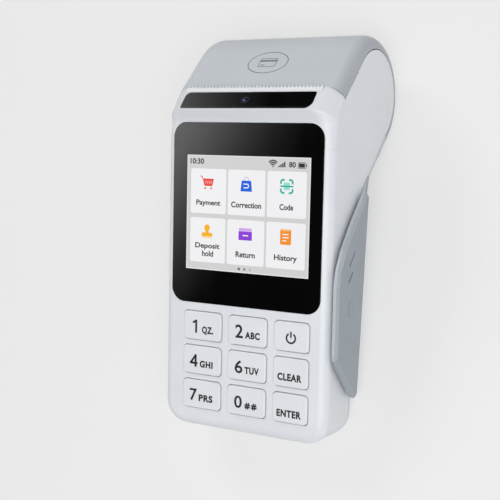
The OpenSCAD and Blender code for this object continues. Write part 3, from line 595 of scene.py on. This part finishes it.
def scan_frame():
    x0, y0, x1, y1 = 15.8, 98.7, 21.5, 104.3
    inset, radius, leg = 1.2, 0.95, 0.7
    corners = ((x0 + inset, y0 + inset, 180, (0, leg), (leg, 0)),
               (x0 + inset, y1 - inset, 90, (leg, 0), (0, -leg)),
               (x1 - inset, y0 + inset, 270, (-leg, 0), (0, leg)),
               (x1 - inset, y1 - inset, 0, (0, -leg), (-leg, 0)))
    bm = bmesh.new()
    for cx, cy, start, first_leg, last_leg in corners:
        bend = arc(cx, cy, radius, radius, start, start + 90, 8)
        first = (bend[0][0] + first_leg[0], bend[0][1] + first_leg[1])
        last = (bend[-1][0] + last_leg[0], bend[-1][1] + last_leg[1])
        stroke(bm, [first] + bend + [last], 0.75, *SIGN_LAYER)
    plate(bm, round_rect(15.7, 101.25, 21.6, 101.85, 0.2, 3), 0.08, 0.1)
    show("sign_frame", bm, rgb(24, 178, 152))
    bm = bmesh.new()
    plate(bm, round_rect(17.3, 100.1, 20.0, 103.0, 0.2, 3), 0.07, 0.08)
    show("sign_frame_light", bm, rgb(150, 226, 214))


def stamp():
    neck = [(-18.45, 82.4), (-18.5, 81.6), (-19.0, 81.2), (-16.5, 81.2), (-17.0, 81.6), (-17.05, 82.4)]
    bm = bmesh.new()
    plate(bm, ring(-17.75, 83.3, 1.35, 1.4, 28), *SIGN_LAYER)
    plate(bm, neck, 0.07, 0.088)
    plate(bm, round_rect(-20.3, 79.75, -15.2, 81.35, 0.4), 0.07, 0.086)
    show("sign_stamp", bm, rgb(250, 182, 16))
    bm = bmesh.new()
    plate(bm, round_rect(-20.1, 79.15, -15.4, 79.6, 0.1, 3), *SIGN_LAYER)
    show("sign_stamp_foot", bm, rgb(252, 220, 140))


def parcel():
    bm = bmesh.new()
    plate(bm, round_rect(-2.75, 79.3, 3.45, 82.85, 0.25), *SIGN_LAYER)
    show("sign_parcel", bm, rgb(140, 56, 216))
    bm = bmesh.new()
    plate(bm, round_rect(-2.6, 82.95, 3.35, 84.15, 0.2), *SIGN_LAYER)
    show("sign_parcel_lid", bm, rgb(212, 168, 240))
    bm = bmesh.new()
    plate(bm, round_rect(-0.85, 80.95, 1.75, 81.4, 0.2), *MARK_LAYER)
    show("sign_parcel_mark", bm, WHITE)


def sheet():
    lines_x, half = 17.25, 0.22
    bm = bmesh.new()
    plate(bm, round_rect(16.25, 78.7, 21.1, 84.8, 0.5), *SIGN_LAYER)
    show("sign_sheet", bm, rgb(250, 146, 34))
    bm = bmesh.new()
    plate(bm, round_rect(16.7, 84.1, 20.65, 84.75, 0.3), 0.09, 0.095)
    show("sign_sheet_top", bm, rgb(253, 196, 118))
    bm = bmesh.new()
    for y, wide in ((82.75, 2.75), (81.5, 2.75), (80.25, 1.8)):
        plate(bm, round_rect(lines_x, y - half, lines_x + wide, y + half, 0.2), *MARK_LAYER)
    show("sign_sheet_lines", bm, WHITE)


LABELS = (
    ("Payment", (-23.2, 91.9, -11.6, 94.7)),
    ("Correction", (-6.5, 92.2, 7.4, 94.6)),
    ("Code", (15.6, 92.2, 21.7, 94.6)),
    ("Deposit", (-23.4, 74.3, -11.6, 77.1)),
    ("hold", (-20.0, 71.6, -14.6, 74.0)),
    ("Return", (-4.0, 72.3, 5.0, 74.7)),
    ("History", (13.7, 71.7, 23.9, 74.7)),
)


def labels():
    bm = bmesh.new()
    for text, box in LABELS:
        words(bm, text, box, *SIGN_LAYER, LABEL_WEIGHT)
    show("screen_labels", bm, grey(50))
    for i, (x, shade) in enumerate(((-2.3, 100), (0.25, 145), (2.8, 186))):
        bm = bmesh.new()
        plate(bm, ring(x, 67.6, 0.58, 0.58, 20), *TILE_LAYER)
        show("page_dot_%d" % (i + 1), bm, grey(shade))


screen_ground()
status_line()
cart()
bag()
scan_frame()
stamp()
parcel()
sheet()
labels()


# Key legends, each on its own key

PRINT = 0.02
KEY_TOP = 0.9
KEY_LAYER = (KEY_TOP - PRINT, KEY_TOP + PRINT)
DIGIT_WEIGHT = 0.018
LETTER_WEIGHT = 0.046
LETTER_GAP = 1.12
LEGENDS = {
    "key_1": [("QZ.", (-18.9, 39.2, -13.4, 42.7))],
    "key_2": [("2", (-2.9, 39.75, 0.7, 45.2)), ("ABC", (1.7, 39.8, 8.5, 42.7))],
    "key_4": [("GHI", (-19.7, 25.4, -13.4, 28.3))],
    "key_6": [("6", (-2.85, 25.3, 0.85, 30.65)), ("TUV", (1.75, 25.4, 8.45, 28.3))],
    "key_clear": [("CLEAR", (16.9, 25.0, 27.75, 28.0))],
    "key_7": [("7", (-24.4, 11.05, -20.8, 16.15)), ("PRS", (-19.95, 11.1, -13.2, 14.1))],
    "key_0": [("0", (-2.8, 10.95, 0.85, 16.1))],
    "key_enter": [("ENTER", (16.9, 10.4, 27.85, 13.35))],
    "key_power": [],
}


def one(bm):
    outline = [(-22.2, 39.65), (-21.25, 39.65), (-21.25, 45.1), (-21.95, 45.1), (-23.4, 44.25),
               (-23.4, 43.4), (-22.2, 44.0)]
    plate(bm, outline, *KEY_LAYER)


def four(bm):
    stroke(bm, [(-21.75, 25.4), (-21.75, 30.6)], 1.0, *KEY_LAYER)
    stroke(bm, [(-24.55, 26.95), (-20.75, 26.95)], 0.88, *KEY_LAYER)
    stroke(bm, [(-24.25, 26.75), (-21.75, 30.35)], 0.88, *KEY_LAYER)


def hash_signs(bm):
    y0, wide, high, slant = 11.0, 2.6, 2.7, 0.25
    for x0 in (2.1, 5.2):
        for k in (0.85, 1.7):
            stroke(bm, [(x0 + k - slant, y0), (x0 + k + slant, y0 + high)], 0.6, *KEY_LAYER)
            stroke(bm, [(x0, y0 + k), (x0 + wide, y0 + k)], 0.56, *KEY_LAYER)


def power_sign(bm):
    stroke(bm, arc(22.55, 42.2, 1.95, 1.95, 122, 418, 36), 0.72, *KEY_LAYER)
    plate(bm, round_rect(22.2, 42.3, 22.9, 44.85, 0.25), *KEY_LAYER)


SIGNS = {"key_1": one, "key_4": four, "key_0": hash_signs, "key_power": power_sign}


def legends():
    legend_ink = ink("legend_ink", grey(26), grey(36))
    for key, texts in LEGENDS.items():
        bm = bmesh.new()
        for text, box in texts:
            weight = DIGIT_WEIGHT if len(text) == 1 else LETTER_WEIGHT
            words(bm, text, box, *KEY_LAYER, weight, LETTER_GAP)
        if key in SIGNS:
            SIGNS[key](bm)
        finish_piece("legend_" + key[4:], bm, FACE, key, legend_ink)


legends()


# Tap place on the cover: a plain oval with a plain card

COVER_R = 24.7


def tap_mark():
    layer = (COVER_R - PRINT, COVER_R + PRINT)
    cx, cy, rx, ry, line = -0.5, -6.6, 9.2, 6.5, 0.37
    mark_ink = ink("mark_ink", grey(100, 3), grey(110, 3))
    bm = bmesh.new()
    band(bm, ring(cx, cy, rx, ry, 72), ring(cx, cy, rx - line, ry - line, 72), *layer)
    card = round_rect(-4.5, -9.2, 3.5, -4.0, 0.7)
    inside = round_rect(-4.2, -8.9, 3.2, -4.3, 0.45)
    band(bm, card, inside, *layer)
    plate(bm, rect(-4.3, -6.0, 3.3, -5.1), *layer)
    plate(bm, round_rect(-3.6, -8.2, -1.6, -7.8, 0.1, 3), *layer)
    finish_piece("tap_mark", bm, ROLL, "cover", mark_ink)


tap_mark()


# Camera lens in the black bar: a ring, a domed glass and a painted glint on it

LENS_AT = (-0.6, 4.55)
LENS_R = 1.3
LENS_RING_R = 1.65
DOME_HEIGHT = 0.18
DOME_ROWS = 7


def lens_piece(name, bm, material, smooth=False):
    finish_piece(name, bm, BAR, "housing", material, smooth)


def lens():
    cx, cy = LENS_AT
    bm = bmesh.new()
    band(bm, ring(cx, cy, LENS_RING_R, LENS_RING_R), ring(cx, cy, LENS_R, LENS_R), -0.02, 0.05)
    lens_piece("lens_ring", bm, gloss("lens_ring", rgb(32, 38, 58), rgb(38, 44, 66), 0.3, 0.2))
    bm = bmesh.new()
    rows = []
    for i in range(DOME_ROWS):
        a = math.radians(90 * i / DOME_ROWS)
        r = LENS_R * math.cos(a)
        z = DOME_HEIGHT * math.sin(a)
        rows.append([bm.verts.new((x, y, z)) for x, y in ring(cx, cy, r, r)])
    skin(bm, rows)
    crown = bm.verts.new((cx, cy, DOME_HEIGHT))
    last = rows[-1]
    for i in range(len(last)):
        bm.faces.new((last[i], last[(i + 1) % len(last)], crown))
    bm.faces.new(rows[0][::-1])
    dome_glass = gloss("lens_dome", rgb(4, 8, 24), rgb(8, 14, 40), 0.25, 0.15)
    lens_piece("lens_dome", bm, dome_glass, smooth=True)
    bm = bmesh.new()
    # Painted reflection: a pale blue arc drawn over the dome as its glint
    stroke(bm, arc(cx, cy, 0.45, 0.45, 150, 300, 10), 0.5, 0.14, 0.19)
    lens_piece("lens_painted_glint", bm, gloss("lens_painted_glint", rgb(96, 118, 168), rgb(112, 132, 180), 0.3, 0.2))


lens()


# Tear strip: a bright serrated edge along the paper exit

def tear_strip():
    x0, x1, teeth = -30.6, 31.6, 39
    foot, root, tip = 9.3, 11.05, 12.45
    step = (x1 - x0) / teeth
    edge = [(x1, root)]
    for i in range(teeth, 0, -1):
        edge.append((x0 + (i - 0.2) * step, root))
        edge.append((x0 + (i - 0.5) * step, tip))
        edge.append((x0 + (i - 0.8) * step, root))
    strip_white = moulded("strip_white", rgb(238, 240, 243), rgb(242, 244, 246), 0.3, edge=0.1)
    bm = bmesh.new()
    plate(bm, [(x0, foot), (x1, foot)] + edge + [(x0, root)], -0.85, 0.05)
    piece = finish_piece("tear_strip", bm, BAR, "housing", strip_white)
    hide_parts("tear_bar")


tear_strip()


# Black lower rim of the bar, and a lip that carries the brow's right shoulder up to the cover

def bar_rim():
    aside, down = 0.1, 0.65
    inner = []
    outer = []
    for cx, cy, r, start, count in ((-29.0, 1.5, 0.7, 180, 6), (26.6, 3.9, 3.1, 270, 12)):
        inner += arc(cx, cy, r, r, start, start + 90, count)
        outer += arc(cx, cy, r + aside, r + down, start, start + 90, count)
    bm = bmesh.new()
    band(bm, outer, inner, -0.1, 0.03, closed=False)
    finish_piece("bar_rim", bm, BAR, "housing", FINISHES["black_gloss"])


def brow_lip():
    cx, cy, r, wall = 27.42, 10.29, 10.97, 1.0
    start, end, count = -65, -17, 16
    outer = arc(cx, cy, r, r, start, end, count)
    inner = arc(cx, cy, r - wall, r - wall, start, end, count)
    upright = Matrix(((1, 0, 0), (0, 0, 1), (0, -1, 0))).to_4x4()
    bm = bmesh.new()
    band(bm, outer, inner, 11.0, 12.1, closed=False)
    finish_piece("brow_lip", bm, BAR @ upright, "housing", FINISHES["white_plastic"])


bar_rim()
brow_lip()


# Rail marks: a painted highlight line along the bevel, slit floors painted dark for the shade in them,
# and a faint sign of a card

RAIL_OUT = 41.55
RAIL_BEVEL = [(96.2, -24.1), (87.2, -15.5), (77.0, -7.0), (69.3, -3.0), (63.5, -1.9), (37.0, -1.9),
              (35.0, -2.4), (31.4, -5.5), (21.4, -15.6), (18.5, -18.3)]
RAIL_CORNER = 6
RAIL_SLITS = (((76.4, -15.55), (71.1, -11.35)), ((68.4, -14.2), (64.6, -10.6)))


def rail_piece(name, bm, material):
    finish_piece(name, bm, RAIL, "housing", material)


def rail_highlight_and_marks():
    upper = RAIL_BEVEL[:RAIL_CORNER + 1]
    lower = RAIL_BEVEL[RAIL_CORNER:]
    # Painted highlight: a pale stroke along the bevel, paler on the upper run than the lower
    for name, path, shade in (("upper", upper, 184), ("lower", lower, 170)):
        bm = bmesh.new()
        stroke(bm, path, 0.7, RAIL_OUT - 0.1, RAIL_OUT + PRINT)
        rail_piece("rail_bevel_highlight_" + name, bm, ink("painted_highlight_" + name, grey(shade, 7), grey(shade + 4, 7)))
    bm = bmesh.new()
    # Painted shade: dark floors laid in the slits for the shade inside the grooves
    for start, end in RAIL_SLITS:
        stroke(bm, [start, end], 0.86, RAIL_OUT - 0.32, RAIL_OUT - 0.24)
    rail_piece("rail_slits", bm, ink("slit_shade", grey(40, 3), grey(46, 3)))
    layer = (RAIL_OUT - PRINT, RAIL_OUT + PRINT)
    card = round_rect(50.9, -14.6, 57.5, -10.6, 0.7)
    inside = round_rect(51.3, -14.2, 57.1, -11.0, 0.4)
    bm = bmesh.new()
    band(bm, card, inside, *layer)
    plate(bm, round_rect(51.3, -11.9, 57.1, -11.2, 0.1), *layer)
    rail_piece("rail_sign", bm, ink("rail_ink", grey(146, 7), grey(150, 7)))


rail_highlight_and_marks()


# Soft pieces under the keys and behind the magnetic head

MAT_LOW = -6.35
MAT_TOP = -5.65
DOME_PROFILE = ((4.1, MAT_TOP), (3.95, -5.5), (3.55, -5.2), (3.1, -4.7), (2.85, -4.4), (2.6, -4.25),
                (2.3, -4.2))
KEY_ROWS = (("key_1", "key_2", "key_power"), ("key_4", "key_6", "key_clear"),
            ("key_7", "key_0", "key_enter"))
KEY_XS = (-18.9, 2.5, 22.55)
KEY_Y = 42.7
KEY_PITCH = 14.35


def turned(bm, cx, cy, profile, count=32):
    rows = []
    for r, z in profile:
        rows.append([bm.verts.new((x, y, z)) for x, y in ring(cx, cy, r, r, count)])
    skin(bm, rows)
    bm.faces.new(rows[0][::-1])
    bm.faces.new(rows[-1])


def keypad():
    rubber = FINISHES["rubber_grey"]
    bm = bmesh.new()
    plate(bm, round_rect(-27.9, 7.8, 30.55, 48.9, 2), MAT_LOW, MAT_TOP)
    piece = finish_piece("keypad_sheet", bm, FACE, "housing", rubber)
    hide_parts("keypad_mat")
    for row, keys in enumerate(KEY_ROWS):
        y = KEY_Y - KEY_PITCH * row
        for x, key in zip(KEY_XS, keys):
            bm = bmesh.new()
            turned(bm, x, y, DOME_PROFILE)
            dome = finish_piece("dome_" + key[4:], bm, FACE, "housing", rubber, smooth=True)
            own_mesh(dome)


def leaf_spring():
    middle, half, steps = 57.5, 10, 24
    base, bow, thick = 32.35, 0.83, 0.22
    outer = []
    inner = []
    for i in range(steps + 1):
        v = -half + 2 * half * i / steps
        height = base + bow * math.cos(math.radians(90 * v / half)) ** 2
        outer.append((v + middle, height))
        inner.append((v + middle, height - thick))
    steel = FINISHES["bright_metal"]
    swapped = Matrix(((0, 1, 0), (1, 0, 0), (0, 0, 1))).to_4x4()
    bm = bmesh.new()
    band(bm, outer, inner, -12, -8, closed=False)
    piece = finish_piece("leaf_spring", bm, FACE @ swapped, "housing", steel)
    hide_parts("mag_spring")
    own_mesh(piece)


keypad()
leaf_spring()


# Floor, in metres, with its four sides turned up into a pale backdrop

FLOOR_HALF = 12
FLOOR_STEPS = 12
FLOOR_RISE = 2.5
FLOOR_DROP = 0.00005
NEAR = 0.3
FAR = 2.5
NEAR_SHARE = 0.55


def pale_backdrop(tree, shader):
    # Camera and gloss rays see a pale tone, in full far off, and mixed with the lit floor near the part
    path = tree.nodes.new("ShaderNodeLightPath")
    rays = path.outputs["Is Camera Ray"]
    for name in ("Is Glossy Ray", "Is Transmission Ray"):
        either = tree.nodes.new("ShaderNodeMath")
        either.operation = "MAXIMUM"
        tree.links.new(rays, either.inputs[0])
        tree.links.new(path.outputs[name], either.inputs[1])
        rays = either.outputs["Value"]
    coords = tree.nodes.new("ShaderNodeTexCoord")
    away = tree.nodes.new("ShaderNodeVectorMath")
    away.operation = "LENGTH"
    tree.links.new(coords.outputs["Object"], away.inputs[0])
    share = tree.nodes.new("ShaderNodeMapRange")
    share.inputs["From Min"].default_value = NEAR
    share.inputs["From Max"].default_value = FAR
    share.inputs["To Min"].default_value = NEAR_SHARE
    tree.links.new(away.outputs["Value"], share.inputs["Value"])
    amount = tree.nodes.new("ShaderNodeMath")
    amount.operation = "MULTIPLY"
    tree.links.new(share.outputs["Result"], amount.inputs[0])
    tree.links.new(rays, amount.inputs[1])
    tone = tree.nodes.new("ShaderNodeEmission")
    tone.inputs["Color"].default_value = grey(240)
    mix = tree.nodes.new("ShaderNodeMixShader")
    tree.links.new(amount.outputs["Value"], mix.inputs["Fac"])
    tree.links.new(shader.outputs["BSDF"], mix.inputs[1])
    tree.links.new(tone.outputs["Emission"], mix.inputs[2])
    out = tree.nodes["Material Output"]
    tree.links.new(mix.outputs["Shader"], out.inputs["Surface"])


def floor_paint():
    material, tree, shader = new_material("floor_paint")
    wide = noise(tree, place(tree), scale=6, detail=2.0)
    tree.links.new(mottle(tree, wide, grey(233), grey(236)), shader.inputs["Base Color"])
    shader.inputs["Roughness"].default_value = 0.8
    shader.inputs["Specular IOR Level"].default_value = 0.2
    pale_backdrop(tree, shader)
    return material


def floor():
    bm = bmesh.new()
    grid = []
    for i in range(FLOOR_STEPS + 1):
        x = FLOOR_HALF * (2 * i / FLOOR_STEPS - 1)
        column = []
        for j in range(FLOOR_STEPS + 1):
            y = FLOOR_HALF * (2 * j / FLOOR_STEPS - 1)
            inside = 0 < i < FLOOR_STEPS and 0 < j < FLOOR_STEPS
            z = 0 if inside else FLOOR_RISE
            column.append(bm.verts.new((x, y, z - FLOOR_DROP)))
        grid.append(column)
    for i in range(FLOOR_STEPS):
        for j in range(FLOOR_STEPS):
            bm.faces.new((grid[i][j], grid[i + 1][j], grid[i + 1][j + 1], grid[i][j + 1]))
    mesh = bpy.data.meshes.new("floor")
    bm.to_mesh(mesh)
    bm.free()
    mesh.materials.append(floor_paint())
    plane = bpy.data.objects.new("floor", mesh)
    scene.collection.objects.link(plane)


# Lights and camera

LAMP_AIM = (0, 0, 0.03)
GLOW_STRENGTH = 1.6
GLOW_LEVELS = ((0.08, 0.17), (0.28, 0.008), (0.5, 0.008), (0.55, 0.1), (0.588, 0.26), (0.625, 0.51),
               (0.663, 0.82), (0.69, 1), (0.85, 0.2))
GLOW_SHIFTS = ((0, 0.106), (0.153, 0), (0.5, 0), (0.92, 0.04))
PHOTO_SIDE = 500
FOCAL_PIXELS = 1055
SENSOR_WIDTH = 36
CAMERA_AT = (211.235, -71.579, 404.598)
CAMERA_BACK = (0.4998, -0.1419, 0.8545)
CAMERA_RIGHT = (0.8635, 0.1589, -0.4787)


def lamp(name, spot, side, power):
    data = bpy.data.lights.new(name, "AREA")
    data.shape = "SQUARE"
    data.size = side
    data.energy = power
    holder = bpy.data.objects.new(name, data)
    scene.collection.objects.link(holder)
    holder.location = spot
    holder.rotation_euler = (Vector(LAMP_AIM) - Vector(spot)).to_track_quat("-Z", "Y").to_euler()


def sky():
    # A tall soft light on the left that fades to a dark screen, with soft fill on the right
    world = bpy.data.worlds.new("studio")
    scene.world = world
    world.use_nodes = True
    tree = world.node_tree
    tree.nodes.clear()
    out = tree.nodes.new("ShaderNodeOutputWorld")
    back = tree.nodes.new("ShaderNodeBackground")
    coords = tree.nodes.new("ShaderNodeTexCoord")
    split = tree.nodes.new("ShaderNodeSeparateXYZ")
    tree.links.new(coords.outputs["Generated"], split.inputs["Vector"])
    lean = tree.nodes.new("ShaderNodeMapRange")
    lean.inputs["From Min"].default_value = -0.4
    lean.inputs["From Max"].default_value = 0.8
    tree.links.new(split.outputs["Y"], lean.inputs["Value"])
    shift = ramp(tree, lean.outputs["Result"], [(at, level(value)) for at, value in GLOW_SHIFTS])
    across = tree.nodes.new("ShaderNodeMath")
    across.operation = "ADD"
    tree.links.new(split.outputs["X"], across.inputs[0])
    tree.links.new(shift, across.inputs[1])
    fade = tree.nodes.new("ShaderNodeMapRange")
    fade.inputs["From Min"].default_value = -0.15
    fade.inputs["From Max"].default_value = -0.75
    tree.links.new(across.outputs["Value"], fade.inputs["Value"])
    shade = ramp(tree, fade.outputs["Result"], [(at, level(value)) for at, value in GLOW_LEVELS])
    tree.links.new(shade, back.inputs["Color"])
    back.inputs["Strength"].default_value = GLOW_STRENGTH
    tree.links.new(back.outputs["Background"], out.inputs["Surface"])


def camera():
    data = bpy.data.cameras.new("camera")
    data.sensor_width = SENSOR_WIDTH
    data.lens = FOCAL_PIXELS * SENSOR_WIDTH / PHOTO_SIDE
    data.clip_start = 0.01
    holder = bpy.data.objects.new("camera", data)
    scene.collection.objects.link(holder)
    back = Vector(CAMERA_BACK).normalized()
    right = Vector(CAMERA_RIGHT)
    right = (right - back * right.dot(back)).normalized()
    up = back.cross(right)
    turn = Matrix((right, up, back)).transposed().to_4x4()
    holder.matrix_world = Matrix.Translation(Vector(CAMERA_AT) * MM) @ turn
    scene.camera = holder


scene.view_settings.view_transform = "Standard"
floor()
sky()
lamp("key_lamp", (0.61, -0.46, 1.24), 0.9, 13.5)
lamp("back_lamp", (-0.65, 0.75, 0.9), 0.45, 3.8)
lamp("side_lamp", (0.98, -0.1, 0.72), 0.6, 1.0)
camera()
